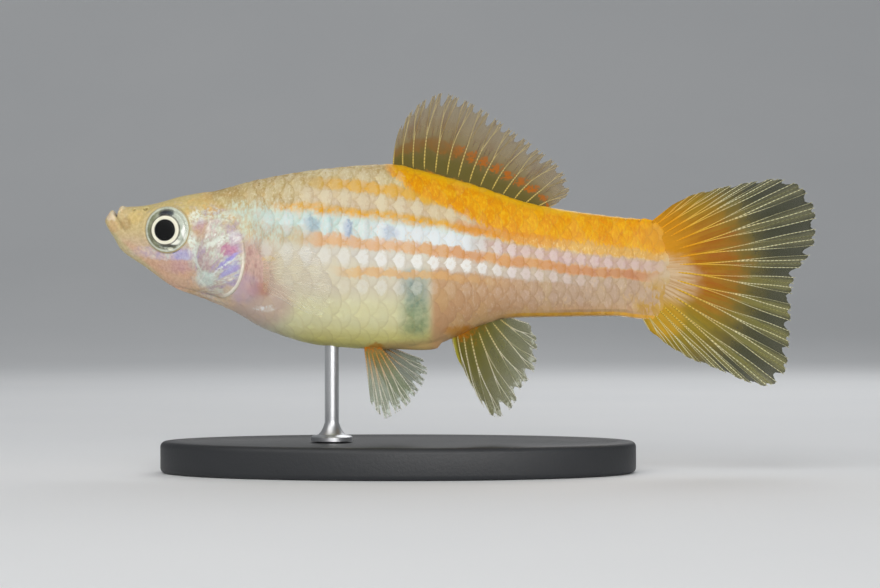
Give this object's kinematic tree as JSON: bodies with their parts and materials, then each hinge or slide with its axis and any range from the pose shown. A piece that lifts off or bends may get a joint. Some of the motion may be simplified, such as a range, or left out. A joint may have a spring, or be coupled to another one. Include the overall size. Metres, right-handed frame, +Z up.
{
  "type": "female swordtail fish model on a display stand",
  "caption": "Life-size still model of a live-bearing aquarium fish with spread fins, held up in a swimming pose by a rod on a flat oval base.",
  "frame": {"origin": "on the underside of the stand's base, under the middle of the fish's length", "axes": "+X towards the end of the tail fin, +Z up, so the fish faces -X and its left side faces -Y"},
  "size_m": [0.09, 0.03, 0.0481],
  "materials": {
    "skin": "satin, scaled",
    "gill_cover": "pearly",
    "eye": "glossy",
    "fin": "thin, translucent",
    "stand_base": "satin",
    "stand_rod": "brushed"
  },
  "bodies": {
    "root": {"head": "skin", "lower_jaw": "skin", "gill_cover_left": "gill_cover", "gill_cover_right": "gill_cover", "eye_left": "eye", "eye_right": "eye", "trunk": "skin", "tail": "skin", "dorsal_fin": "fin", "anal_fin": "fin", "caudal_fin": "fin", "pectoral_fin_left": "fin", "pectoral_fin_right": "fin", "pelvic_fin_left": "fin", "pelvic_fin_right": "fin", "stand_base": "stand_base", "stand_rod": "stand_rod"}
  },
  "joints": []
}
